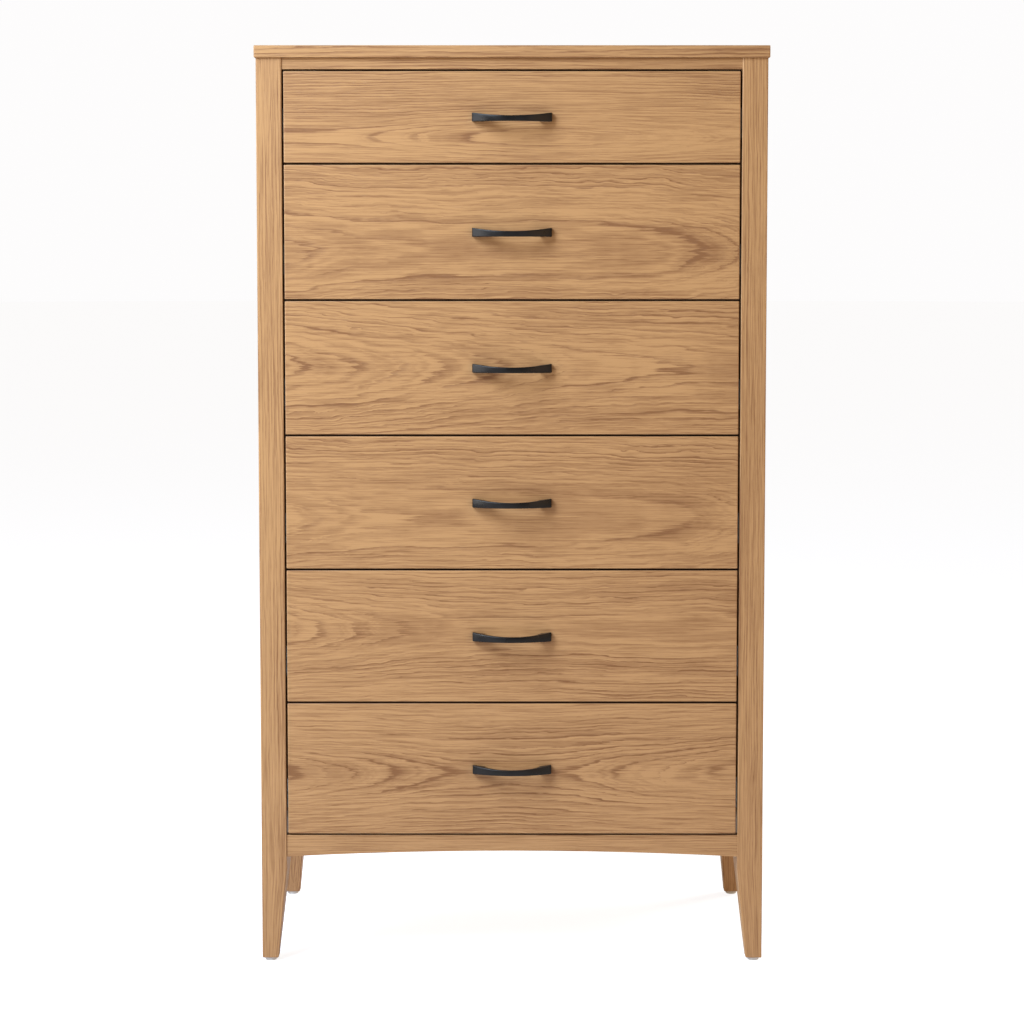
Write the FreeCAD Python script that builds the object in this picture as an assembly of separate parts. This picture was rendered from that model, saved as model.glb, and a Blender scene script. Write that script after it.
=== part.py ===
"""Tall chest of six drawers in oak: posts, rails, framed sides and six drawers on telescopic slides.

Millimetres, +Z up. The drawers face -Y. The origin is on the floor, under the middle of the
chest's overall box, with the handles counted in that box. Drawer 1 is the shallow one at the top.
"""
import FreeCAD, Part
import os

Vector = FreeCAD.Vector

# --- case, overall -------------------------------------------------------------------------
top_width = 762.0
top_thickness = 18.0
top_side_overhang = 2.5
top_front_overhang = 4.0
top_edge_radius = 1.5
case_depth = 454.0            # front face of the posts to the back of the chest

# --- heights, from the floor up ------------------------------------------------------------
glide_height = 5.0
rail_clearance = 160.5        # floor to the ends of the bottom rail
bottom_rail_height = 33.0     # at its ends
bottom_rail_rise = 9.0        # the arch under the bottom rail
drawer_count = 6
top_front_height = 135.0
deep_front_height = 199.0
drawer_gap = 2.5              # shadow gap all round each drawer front
top_rail_height = 17.0

# --- posts and feet ------------------------------------------------------------------------
post_width = 38.0
post_depth = 80.0             # front to back
post_edge_radius = 1.6
foot_size = 24.5              # square section at the floor end
taper_top = 142.0             # height at which the two inner faces start to taper
foot_chamfer = 1.2
glide_radius = 9.0
glide_chamfer = 1.2
glide_nail_radius = 1.5
glide_nail_length = 12.0

# --- rails and their joints ----------------------------------------------------------------
rail_thickness = 20.0
rail_setback = 2.0            # front rails stand this far behind the front of the posts
rail_edge_radius = 0.8
rear_rail_height = 60.0
tenon_thickness = 8.0
tenon_length = 20.0
tenon_shoulder = 4.0
tenon_wall = 2.0              # wood left between a rear tenon and the back panel's rebate
joint_clearance = 0.1

# --- sides ---------------------------------------------------------------------------------
side_panel_thickness = 18.0
side_panel_recess = 3.0
side_arch_rise = 9.0          # the arch under each side
tongue_thickness = 8.0
tongue_depth = 8.0

# --- back ----------------------------------------------------------------------------------
back_panel_thickness = 6.0
back_rebate_width = 10.0
anchor_hole_radius = 1.5
anchor_hole_depth = 12.0
anchor_hole_spacing = 32.0

# --- inside the case -----------------------------------------------------------------------
divider_thickness = 18.0
divider_depth = 56.0
divider_housing = 6.0
divider_gap = 1.0             # drawer front to the dividers behind it
batten_height = 60.0
corner_block_size = 50.0
corner_block_height = 18.0

# --- drawers -------------------------------------------------------------------------------
front_thickness = 20.0
front_edge_radius = 1.8
box_board = 12.0
box_bottom_inset = 14.0       # bottom edge of the front to the bottom of the box
box_top_inset = 35.0          # top of the box to the top edge of the front
box_rear_clearance = 12.0     # back of the box to the rear rails
box_edge_radius = 1.5
bottom_thickness = 6.0
bottom_groove_depth = 5.0
bottom_groove_height = 10.0   # bottom of the box to the groove
bottom_clearance = 0.15
tail_pitch = 30.0
tail_slope = 1.0 / 6.0
pin_share = 0.36              # share of the pitch that the pin takes, at mid thickness

# --- telescopic slides ---------------------------------------------------------------------
slide_thickness = 12.7
slide_height = 45.0
slide_front_inset = 2.0
slide_centre = 45.0           # bottom of the box to the middle of the slide
slide_steel = 1.2
race_gap = 3.6                # room for the balls between one member and the next
outer_lip = 4.0
member_inset = 1.9            # web of one member to the web of the next
outer_reach = 10.4

# --- handles -------------------------------------------------------------------------------
handle_length = 118.5
handle_projection = 27.0
handle_end_projection = 7.0   # front of the handle at its two ends
handle_end_height = 14.0
handle_top_dip = 4.8          # hollow of the upper edge at the middle
handle_bottom_rise = 0.4      # hollow of the lower edge at the middle
handle_bar_thickness = 6.5
handle_foot_length = 18.0
handle_edge_radius = 1.5
handle_screw_spacing = 96.0

# --- screws --------------------------------------------------------------------------------
handle_screw_radius = 2.0
handle_screw_grip = 7.0       # thread inside the handle
handle_screw_head_radius = 4.2
handle_screw_head_height = 2.6
handle_screw_dome_radius = 1.5
screw_hole_clearance = 0.3
thread_clearance = 0.05
wood_screw_radius = 1.75
wood_screw_head_radius = 3.5
wood_screw_head_height = 2.2
wood_screw_bite = 10.0
screw_slot_radius = 1.7       # inscribed size of the cross recess in a head
screw_slot_width = 0.7
screw_slot_depth = 1.2
back_screws_per_post = 6
back_screws_per_rail = 3
front_screw_inset = 60.0      # end of the drawer front to its fixing screws
front_screw_rise = 28.0       # bottom and top of the box to those screws

# --- derived places ------------------------------------------------------------------------
case_width = top_width - 2 * top_side_overhang
case_half = case_width / 2
opening_half = case_half - post_width
case_front = (handle_projection - case_depth) / 2
case_back = case_front + case_depth
opening_bottom = rail_clearance + bottom_rail_height
front_heights = [top_front_height] + [deep_front_height] * (drawer_count - 1)
opening_top = opening_bottom + sum(front_heights) + drawer_gap * (drawer_count + 1)
case_top = opening_top + top_rail_height
front_rail_face = case_front + rail_setback
front_tenon_face = front_rail_face + (rail_thickness - tenon_thickness) / 2
rear_rail_face = case_back - rail_thickness
rear_tenon_face = case_back - back_panel_thickness - tenon_wall - tenon_thickness
box_front = case_front + front_thickness
box_back = rear_rail_face - box_rear_clearance
box_half = opening_half - slide_thickness
divider_front = box_front + divider_gap
slide_front = box_front + slide_front_inset
slide_length = box_back - slide_front
side_panel_outer = case_half - side_panel_recess
side_panel_inner = side_panel_outer - side_panel_thickness
side_front = case_front + post_depth
side_back = case_back - post_depth
panel_low = rail_clearance + rear_rail_height - back_rebate_width
panel_high = case_top - rear_rail_height + back_rebate_width


def front_bottoms():
    """Height of the bottom edge of each drawer front, drawer 1 first."""
    heights = []
    top = opening_top
    for height in front_heights:
        top -= drawer_gap + height
        heights.append(top)
    return heights


# --- small tools ---------------------------------------------------------------------------
def block(x0, y0, z0, x1, y1, z1):
    """Box between two corners given in any order."""
    low = Vector(min(x0, x1), min(y0, y1), min(z0, z1))
    return Part.makeBox(abs(x1 - x0), abs(y1 - y0), abs(z1 - z0), low)


def prism(points, direction):
    """Solid swept from a closed flat polygon along a vector."""
    corners = [Vector(*p) for p in points]
    return Part.Face(Part.makePolygon(corners + corners[:1])).extrude(Vector(*direction))


def cylinder(radius, start, direction, length):
    """Cylinder from a point along a direction."""
    return Part.makeCylinder(radius, length, Vector(*start), Vector(*direction))


def frustum(low, z_low, high, z_high):
    """Solid between two rectangles (x0, y0, x1, y1) at two heights, with flat sides."""
    def ring(r, z):
        return [Vector(r[0], r[1], z), Vector(r[2], r[1], z), Vector(r[2], r[3], z), Vector(r[0], r[3], z)]

    a = ring(low, z_low)
    b = ring(high, z_high)
    loops = [a, b]
    for i in range(4):
        j = (i + 1) % 4
        loops.append([a[i], a[j], b[j], b[i]])
    faces = [Part.Face(Part.makePolygon(loop + loop[:1])) for loop in loops]
    solid = Part.Solid(Part.Shell(faces))
    if solid.Volume < 0:
        solid.reverse()
    return solid


def clean(shape):
    """One tidy solid, with flat faces that meet in a plane joined."""
    return shape.removeSplitter().Solids[0]


def rounded(shape, radius, wanted):
    """Fillet of the edges that the test picks, by their middle point and direction."""
    picked = []
    for edge in shape.Edges:
        middle = edge.valueAt((edge.FirstParameter + edge.LastParameter) / 2)
        if edge.Curve.TypeId == "Part::GeomLine" and wanted(middle, edge.tangentAt(edge.FirstParameter)):
            picked.append(edge)
    return shape.makeFillet(radius, picked)


def along(direction, axis):
    """True where a direction runs along the named axis."""
    return abs(getattr(direction, axis)) > 0.999


def save(name, *solids):
    """Write one node; several solids make a group of separate pieces."""
    parts = [s for shape in solids for s in shape.Solids]
    for solid in parts:
        if not solid.isValid() or solid.Volume <= 0:
            raise ValueError(name + " has a bad solid")
    Part.makeCompound(parts).exportStep("parts/" + name + ".step")


def mirrored(shape):
    """The same piece on the other side of the chest."""
    return shape.mirror(Vector(0, 0, 0), Vector(1, 0, 0))


# --- screws --------------------------------------------------------------------------------
def cross_recess(tip, direction, radius):
    """The cross-shaped recess of a screw head, to cut from its outer face."""
    up = Vector(*direction)
    reach = screw_slot_depth
    bar = Part.makeBox(2 * radius, screw_slot_width, reach, Vector(-radius, -screw_slot_width / 2, -reach))
    other = bar.copy()
    other.rotate(Vector(0, 0, 0), Vector(0, 0, 1), 90)
    cross = bar.fuse(other)
    cross.Placement = FreeCAD.Placement(Vector(*tip), FreeCAD.Rotation(Vector(0, 0, 1), up))
    return cross


def countersunk_screw(head, inward, length):
    """Wood screw with a flush conical head. head is the middle of its face, inward where it points."""
    way = Vector(*inward)
    cone = Part.makeCone(wood_screw_head_radius, wood_screw_radius, wood_screw_head_height, Vector(*head), way)
    body = cone.fuse(cylinder(wood_screw_radius, head, inward, length)).removeSplitter()
    outward = (-inward[0], -inward[1], -inward[2])
    return clean(body.cut(cross_recess(head, outward, screw_slot_radius)))


def countersunk_hole(head, inward, length):
    """The hole that such a screw fills, a thread clearance larger all round."""
    way = Vector(*inward)
    start = Vector(*head)
    cone = Part.makeCone(
        wood_screw_head_radius + thread_clearance,
        wood_screw_radius + thread_clearance,
        wood_screw_head_height + thread_clearance,
        start,
        way,
    )
    return cone.fuse(cylinder(wood_screw_radius + thread_clearance, head, inward, length + thread_clearance))


def back_screw_places():
    """(x, z) of each screw through the back panel: up both posts, and along both rear rails."""
    x_post = opening_half + back_rebate_width / 2
    low = panel_low + rear_rail_height / 2
    high = panel_high - rear_rail_height / 2
    places = []
    for i in range(back_screws_per_post):
        z = low + (high - low) * i / (back_screws_per_post - 1)
        places += [(-x_post, z), (x_post, z)]
    for i in range(back_screws_per_rail):
        x = opening_half * (2 * (i + 0.5) / back_screws_per_rail - 1)
        places += [(x, panel_low + back_rebate_width / 2), (x, panel_high - back_rebate_width / 2)]
    return places


def back_screw_length():
    return back_panel_thickness + wood_screw_bite


def back_screws():
    return [countersunk_screw((x, case_back, z), (0, -1, 0), back_screw_length()) for x, z in back_screw_places()]


def back_screw_holes():
    return [countersunk_hole((x, case_back, z), (0, -1, 0), back_screw_length()) for x, z in back_screw_places()]


def top_screw_places():
    """(x, y) of the screw up through each corner block."""
    inset = corner_block_size / 3  # the middle of the triangle
    y_front = front_rail_face + rail_thickness + inset
    y_rear = rear_rail_face - inset
    x = opening_half - inset
    return [(-x, y_front), (x, y_front), (-x, y_rear), (x, y_rear)]


def top_screw_length():
    return corner_block_height + wood_screw_bite


def top_screws():
    start = case_top - corner_block_height
    return [countersunk_screw((x, y, start), (0, 0, 1), top_screw_length()) for x, y in top_screw_places()]


def top_screw_holes():
    start = case_top - corner_block_height
    return [countersunk_hole((x, y, start), (0, 0, 1), top_screw_length()) for x, y in top_screw_places()]


# --- case ----------------------------------------------------------------------------------
def top_panel():
    half = top_width / 2
    slab = block(-half, case_front - top_front_overhang, case_top, half, case_back, case_top + top_thickness)
    slab = rounded(slab, top_edge_radius, lambda m, d: m.y < case_back - 1)
    for hole in top_screw_holes():
        slab = slab.cut(hole)
    return clean(slab)


def leg_post(front):
    """A right-hand post that tapers on its two inner faces, before its joints are cut."""
    x_out = case_half
    x_in = case_half - post_width
    y_out = case_front if front else case_back
    y_in = side_front if front else side_back
    foot_x = x_out - foot_size
    foot_y = y_out + (foot_size if front else -foot_size)

    def rect(xi, yi):
        return (xi, min(y_out, yi), x_out, max(y_out, yi))

    upper = block(x_in, y_in, taper_top, x_out, y_out, case_top)
    lower = frustum(rect(foot_x, foot_y), glide_height, rect(x_in, y_in), taper_top)
    post = clean(upper.fuse(lower))
    return rounded(post, post_edge_radius, lambda m, d: abs(d.z) > 0.9)


def tenon_spans():
    """For each rail: face of its tenon in y, then bottom and top of the rail."""
    return [
        (front_tenon_face, opening_top, case_top, True),
        (front_tenon_face, rail_clearance, opening_bottom, True),
        (rear_tenon_face, case_top - rear_rail_height, case_top, False),
        (rear_tenon_face, rail_clearance, rail_clearance + rear_rail_height, False),
    ]


def mortise(face, low, high):
    """Pocket for a rail's tenon, in a right-hand post."""
    gap = joint_clearance
    return block(
        opening_half - 1,
        face - gap,
        low + tenon_shoulder - gap,
        opening_half + tenon_length + gap,
        face + tenon_thickness + gap,
        high - tenon_shoulder + gap,
    )


def tongue(front, gap):
    """Tongue on the edge of the right-hand side panel, or its groove where a gap is given."""
    x0 = side_panel_outer - (side_panel_thickness - tongue_thickness) / 2
    x1 = x0 - tongue_thickness
    y_joint = side_front if front else side_back
    way = -1 if front else 1
    return block(
        x0 + gap,
        y_joint - way,
        rail_clearance + tenon_shoulder - gap,
        x1 - gap,
        y_joint + way * (tongue_depth + gap),
        case_top + (1 if gap else 0),
    )


def divider_heights():
    """Middle height of each divider, level with the gap between two drawers."""
    return [bottom - drawer_gap / 2 for bottom in front_bottoms()[:-1]]


def divider_bar(z, reach, gap):
    """A divider of a given half length, or the housing it is let into where a gap is given."""
    half = divider_thickness / 2 + gap
    back = divider_front + divider_depth + gap
    return block(-reach - gap, divider_front - gap, z - half, reach + gap, back, z + half)


def glide_place(front):
    y = case_front + foot_size / 2 if front else case_back - foot_size / 2
    return case_half - foot_size / 2, y


def nail_hole(front):
    x, y = glide_place(front)
    length = glide_nail_length + joint_clearance
    return cylinder(glide_nail_radius + thread_clearance, (x, y, glide_height), (0, 0, 1), length)


def eased_foot(post, front):
    """The post cut to an upturned pyramid, which chamfers the four edges under its foot."""
    x, y = glide_place(front)
    low = foot_size / 2 - foot_chamfer
    high = low + case_top - glide_height
    pyramid = frustum(
        (x - low, y - low, x + low, y + low),
        glide_height,
        (x - high, y - high, x + high, y + high),
        case_top,
    )
    return post.common(pyramid)


def front_post():
    """Right-hand front post with its mortises, side groove and divider housings."""
    post = eased_foot(leg_post(True), True)
    for face, low, high, front in tenon_spans():
        if front:
            post = post.cut(mortise(face, low, high))
    post = post.cut(tongue(True, joint_clearance))
    for z in divider_heights():
        post = post.cut(divider_bar(z, opening_half + divider_housing, joint_clearance))
    return clean(post.cut(nail_hole(True)))


def rear_post():
    """Right-hand rear post with its mortises, side groove and the rebate for the back panel."""
    post = eased_foot(leg_post(False), False)
    for face, low, high, front in tenon_spans():
        if not front:
            post = post.cut(mortise(face, low, high))
    post = post.cut(tongue(False, joint_clearance))
    post = post.cut(back_blank(joint_clearance))
    for hole in back_screw_holes():
        post = post.cut(hole)
    return clean(post.cut(nail_hole(False)))


def foot_glide(front):
    """Nylon disc with the nail that holds it in the foot."""
    x, y = glide_place(front)
    disc = cylinder(glide_radius, (x, y, 0), (0, 0, 1), glide_height)
    low_edge = [e for e in disc.Edges if e.BoundBox.ZMax < 1e-6]
    disc = disc.makeChamfer(glide_chamfer, low_edge)
    return clean(disc.fuse(cylinder(glide_nail_radius, (x, y, 0), (0, 0, 1), glide_height + glide_nail_length)))


def rail_tenons(face, low, high):
    """Tenons for both ends of a rail."""
    ends = []
    for side in (-1, 1):
        ends.append(
            block(
                side * (opening_half - 1),
                face,
                low + tenon_shoulder,
                side * (opening_half + tenon_length),
                face + tenon_thickness,
                high - tenon_shoulder,
            )
        )
    return ends


def front_rail(outline, low, high):
    """Rail from its outline in the xz plane, with tenons."""
    rail = Part.Face(outline).extrude(Vector(0, rail_thickness, 0))
    face = front_rail_face
    rail = rounded(rail, rail_edge_radius, lambda m, d: along(d, "x") and abs(m.y - face) < 1e-6)
    for tenon in rail_tenons(front_tenon_face, low, high):
        rail = rail.fuse(tenon)
    return clean(rail)


def top_rail():
    y = front_rail_face
    corners = [
        Vector(-opening_half, y, opening_top),
        Vector(opening_half, y, opening_top),
        Vector(opening_half, y, case_top),
        Vector(-opening_half, y, case_top),
    ]
    return front_rail(Part.makePolygon(corners + corners[:1]), opening_top, case_top)


def bottom_rail():
    """Bottom rail, arched along its lower edge."""
    y = front_rail_face
    left = Vector(-opening_half, y, rail_clearance)
    right = Vector(opening_half, y, rail_clearance)
    crown = Vector(0, y, rail_clearance + bottom_rail_rise)
    upper_right = Vector(opening_half, y, opening_bottom)
    upper_left = Vector(-opening_half, y, opening_bottom)
    outline = Part.Wire(
        [
            Part.Arc(left, crown, right).toShape(),
            Part.makeLine(right, upper_right),
            Part.makeLine(upper_right, upper_left),
            Part.makeLine(upper_left, left),
        ]
    )
    return front_rail(outline, rail_clearance, opening_bottom)


def rear_rails():
    """Upper and lower rear rails, rebated for the back panel."""
    rails = []
    for face, low, high, front in tenon_spans():
        if front:
            continue
        rail = block(-opening_half, rear_rail_face, low, opening_half, case_back, high)
        for tenon in rail_tenons(face, low, high):
            rail = rail.fuse(tenon)
        rail = rail.cut(back_blank(joint_clearance))
        for hole in back_screw_holes():
            rail = rail.cut(hole)
        if high == case_top:
            for hole in anchor_holes():
                rail = rail.cut(hole)
        rails.append(clean(rail))
    return rails


def anchor_holes():
    """Two pilot holes in the upper rear rail, for a tip-restraint bracket."""
    z = case_top - rear_rail_height / 2
    half = anchor_hole_spacing / 2
    return [cylinder(anchor_hole_radius, (x, case_back, z), (0, -1, 0), anchor_hole_depth) for x in (-half, half)]


def back_blank(gap):
    """The back panel before its screw holes, or its rebate where a gap is given."""
    half = opening_half + back_rebate_width + gap
    y_outer = case_back + (1 if gap else 0)
    return block(-half, case_back - back_panel_thickness - gap, panel_low - gap, half, y_outer, panel_high + gap)


def back_panel():
    panel = back_blank(0)
    for hole in back_screw_holes():
        panel = panel.cut(hole)
    return clean(panel)


def side_panel():
    """Right-hand side panel, tongued into both posts and arched along its lower edge."""
    x = side_panel_inner
    front_low = Vector(x, side_front, rail_clearance)
    rear_low = Vector(x, side_back, rail_clearance)
    front_high = Vector(x, side_front, case_top)
    rear_high = Vector(x, side_back, case_top)
    crown = Vector(x, (side_front + side_back) / 2, rail_clearance + side_arch_rise)
    outline = Part.Wire(
        [
            Part.Arc(rear_low, crown, front_low).toShape(),
            Part.makeLine(front_low, front_high),
            Part.makeLine(front_high, rear_high),
            Part.makeLine(rear_high, rear_low),
        ]
    )
    panel = Part.Face(outline).extrude(Vector(side_panel_thickness, 0, 0))
    return clean(panel.fuse(tongue(True, 0)).fuse(tongue(False, 0)))


def dividers():
    """Stretchers behind the drawer fronts, let into the front posts."""
    return [divider_bar(z, opening_half + divider_housing, 0) for z in divider_heights()]


def box_bottoms():
    return [bottom + box_bottom_inset for bottom in front_bottoms()]


def slide_heights():
    """Middle height of each pair of slides."""
    return [bottom + slide_centre for bottom in box_bottoms()]


def battens():
    """Battens that pack the sides out level with the posts, one behind each slide."""
    pieces = []
    for z in slide_heights():
        half = batten_height / 2
        right = block(opening_half, side_front, z - half, side_panel_inner, side_back, z + half)
        pieces += [mirrored(right), right]
    return pieces


def corner_blocks():
    """Glued blocks that the top is screwed down through."""
    low = case_top - corner_block_height
    pieces = []
    for y, way in ((front_rail_face + rail_thickness, 1), (rear_rail_face, -1)):
        reach = way * corner_block_size
        right = prism(
            [
                (opening_half, y, low),
                (opening_half - corner_block_size, y, low),
                (opening_half, y + reach, low),
            ],
            (0, 0, corner_block_height),
        )
        pieces += [mirrored(right), right]
    for hole in top_screw_holes():
        pieces = [piece.cut(hole) for piece in pieces]
    return [clean(piece) for piece in pieces]


# --- slides --------------------------------------------------------------------------------
def channel(reach_from, reach_to, web_at, half_height, y, length, z, lip=0.0):
    """Steel channel on the right-hand side. Reaches are measured in from the side of the opening."""
    def x(reach):
        return opening_half - reach

    t = slide_steel
    web_end = web_at + (t if web_at < (reach_from + reach_to) / 2 else -t)
    parts = [block(x(web_at), y, z - half_height, x(web_end), y + length, z + half_height)]
    for sign in (-1, 1):
        outer = z + sign * half_height
        parts.append(block(x(reach_from), y, outer - sign * t, x(reach_to), y + length, outer))
        if lip:
            parts.append(block(x(reach_to - t), y, outer - sign * (t + lip), x(reach_to), y + length, outer))
    return clean(parts[0].multiFuse(parts[1:]))


def outer_member(z):
    return channel(0, outer_reach, 0, slide_height / 2, slide_front, slide_length, z, lip=outer_lip)


def middle_half():
    return slide_height / 2 - slide_steel - outer_lip


def middle_member(z):
    reach_to = outer_reach - slide_steel - joint_clearance * 5
    half = middle_half() - race_gap / 4
    return channel(member_inset, reach_to, member_inset, half, slide_front, slide_length, z)


def inner_member(z):
    half = middle_half() - race_gap / 4 - slide_steel - race_gap
    reach_from = 2 * member_inset + slide_steel
    return channel(reach_from, slide_thickness, slide_thickness, half, slide_front, slide_length, z)


# --- drawers -------------------------------------------------------------------------------
def handle_screw_length():
    return box_board + front_thickness + handle_screw_grip


def handle_screw_places(bottom, height):
    z = bottom + height / 2
    half = handle_screw_spacing / 2
    return [(-half, z), (half, z)]


def front_screw_places(box_bottom, box_height):
    x = box_half - front_screw_inset
    low = box_bottom + front_screw_rise
    high = box_bottom + box_height - front_screw_rise
    return [(sx * x, z) for sx in (-1, 1) for z in (low, high)]


def front_screw_length():
    return box_board + wood_screw_bite


def through_holes(bottom, height):
    """Clearance holes for the handle's screws, through the front and the box behind it."""
    radius = handle_screw_radius + screw_hole_clearance
    length = box_board + front_thickness + 2
    y = box_front + box_board + 1
    return [cylinder(radius, (x, y, z), (0, -1, 0), length) for x, z in handle_screw_places(bottom, height)]


def fixing_holes(box_bottom, box_height):
    """Holes for the screws that draw the front against the box, from inside the drawer."""
    y = box_front + box_board
    return [
        countersunk_hole((x, y, z), (0, -1, 0), front_screw_length())
        for x, z in front_screw_places(box_bottom, box_height)
    ]


def drawer_front(bottom, height):
    half = opening_half - drawer_gap
    panel = block(-half, case_front, bottom, half, box_front, bottom + height)
    panel = rounded(panel, front_edge_radius, lambda m, d: m.y < box_front - 1)
    for hole in through_holes(bottom, height) + fixing_holes(bottom + box_bottom_inset, height_of_box(height)):
        panel = panel.cut(hole)
    return clean(panel)


def height_of_box(front_height):
    return front_height - box_bottom_inset - box_top_inset


def tail_profiles(low, height, y_end, inward):
    """Dovetails in the yz plane, over the end of a side board. inward is +1 or -1 along y."""
    count = max(2, round(height / tail_pitch))
    pitch = height / count
    spread = box_board * tail_slope
    half_wide = pitch * (1 - pin_share) / 2 + spread / 2
    half_narrow = half_wide - spread
    y_base = y_end + inward * box_board
    tails = []
    for i in range(count):
        z = low + pitch * (i + 0.5)
        tails.append([(y_end, z - half_wide), (y_base, z - half_narrow), (y_base, z + half_narrow), (y_end, z + half_wide)])
    return tails


def tails(low, height, y_end, inward):
    """The tails as solids, through the thickness of the right-hand side board."""
    x = box_half - box_board
    made = []
    for outline in tail_profiles(low, height, y_end, inward):
        made.append(prism([(x, y, z) for y, z in outline], (box_board, 0, 0)))
    return made


def bottom_blank(box_bottom, gap):
    """The drawer's bottom panel, or the groove it slides in where a gap is given."""
    half = box_half - box_board + bottom_groove_depth + gap
    low = box_bottom + bottom_groove_height
    return block(
        -half,
        box_front + box_board - bottom_groove_depth - gap,
        low - gap,
        half,
        box_back - box_board + bottom_groove_depth + gap,
        low + bottom_thickness + gap,
    )


def box_side(box_bottom, height):
    """Right-hand side board with tails at both ends."""
    x0 = box_half - box_board
    y0 = box_front + box_board
    y1 = box_back - box_board
    side = block(x0, y0, box_bottom, box_half, y1, box_bottom + height)
    ends = tails(box_bottom, height, box_front, 1) + tails(box_bottom, height, box_back, -1)
    side = side.multiFuse(ends)
    return clean(side.cut(bottom_blank(box_bottom, bottom_clearance)))


def box_end(box_bottom, height, front):
    """Board across the box, with pins that fill the spaces between the tails."""
    y_end = box_front if front else box_back
    inward = 1 if front else -1
    board = block(-box_half, y_end, box_bottom, box_half, y_end + inward * box_board, box_bottom + height)
    for tail in tails(box_bottom, height, y_end, inward):
        board = board.cut(tail).cut(mirrored(tail))
    return board.cut(bottom_blank(box_bottom, bottom_clearance))


def drawer_box(bottom, front_height):
    """Two sides, the inner front and the back of the dovetailed box."""
    low = bottom + box_bottom_inset
    height = height_of_box(front_height)
    side = box_side(low, height)
    inner_front = box_end(low, height, True)
    for hole in through_holes(bottom, front_height) + fixing_holes(low, height):
        inner_front = inner_front.cut(hole)
    return [mirrored(side), side, clean(inner_front), clean(box_end(low, height, False))]


def handle(bottom, height):
    """Bow handle: a plan outline and a front outline crossed with each other."""
    z = bottom + height / 2
    half = handle_length / 2
    foot = half - handle_foot_length
    mid = handle_projection - handle_bar_thickness

    def at(x, out):
        return Vector(x, case_front - out, z)

    outer = Part.Arc(at(-half, handle_end_projection), at(0, handle_projection), at(half, handle_end_projection))
    inner = Part.BSplineCurve()
    inner.interpolate(
        [
            at(foot, 0),
            at(foot * 0.88, mid * 0.46),
            at(foot * 0.6, mid * 0.81),
            at(0, mid),
            at(-foot * 0.6, mid * 0.81),
            at(-foot * 0.88, mid * 0.46),
            at(-foot, 0),
        ]
    )
    plan = Part.Wire(
        [
            outer.toShape(),
            Part.makeLine(at(half, handle_end_projection), at(half, 0)),
            Part.makeLine(at(half, 0), at(foot, 0)),
            inner.toShape(),
            Part.makeLine(at(-foot, 0), at(-half, 0)),
            Part.makeLine(at(-half, 0), at(-half, handle_end_projection)),
        ]
    )
    tall = Part.Face(plan).extrude(Vector(0, 0, handle_end_height))
    tall.translate(Vector(0, 0, -handle_end_height / 2))
    high = handle_end_height / 2
    y = case_front + 1

    def on(x, up):
        return Vector(x, y, z + up)

    upper = Part.Arc(on(half + 1, high), on(0, high - handle_top_dip), on(-half - 1, high))
    lower = Part.Arc(on(-half - 1, -high), on(0, -high + handle_bottom_rise), on(half + 1, -high))
    face = Part.Wire(
        [
            upper.toShape(),
            Part.makeLine(on(-half - 1, high), on(-half - 1, -high)),
            lower.toShape(),
            Part.makeLine(on(half + 1, -high), on(half + 1, high)),
        ]
    )
    flat = Part.Face(face).extrude(Vector(0, -handle_projection - 2, 0))
    bow = clean(tall.common(flat))
    shown = [e for e in bow.Edges if e.BoundBox.YMin < case_front - 0.5]
    bow = bow.makeFillet(handle_edge_radius, shown)
    radius = handle_screw_radius + thread_clearance
    for x, height_at in handle_screw_places(bottom, height):
        length = handle_screw_grip + joint_clearance
        bow = bow.cut(cylinder(radius, (x, case_front + 1, height_at), (0, -1, 0), length + 1))
    return clean(bow)


def machine_screw(x, z):
    """Pan-head screw from inside the drawer into the handle."""
    y = box_front + box_board
    head = cylinder(handle_screw_head_radius, (x, y, z), (0, 1, 0), handle_screw_head_height)
    far_edge = [e for e in head.Edges if e.BoundBox.YMin > y + handle_screw_head_height - 1e-6]
    head = head.makeFillet(handle_screw_dome_radius, far_edge)
    body = head.fuse(cylinder(handle_screw_radius, (x, y, z), (0, -1, 0), handle_screw_length()))
    recess = cross_recess((x, y + handle_screw_head_height, z), (0, 1, 0), screw_slot_radius)
    return clean(body.cut(recess))


def drawer_screws(bottom, front_height):
    """Both handle screws, then the four screws that hold the front to the box."""
    low = bottom + box_bottom_inset
    height = height_of_box(front_height)
    made = [machine_screw(x, z) for x, z in handle_screw_places(bottom, front_height)]
    y = box_front + box_board
    for x, z in front_screw_places(low, height):
        made.append(countersunk_screw((x, y, z), (0, -1, 0), front_screw_length()))
    return made


def save_drawer(number, bottom, height):
    name = "drawer_" + str(number)
    slide_z = bottom + box_bottom_inset + slide_centre
    save(name + "_front", drawer_front(bottom, height))
    save(name + "_box", *drawer_box(bottom, height))
    save(name + "_bottom", bottom_blank(bottom + box_bottom_inset, 0))
    save(name + "_handle", handle(bottom, height))
    save(name + "_screws", *drawer_screws(bottom, height))
    inner = inner_member(slide_z)
    save(name + "_slide_inner", mirrored(inner), inner)
    middle = middle_member(slide_z)
    save("slide_" + str(number) + "_middle", mirrored(middle), middle)


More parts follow.
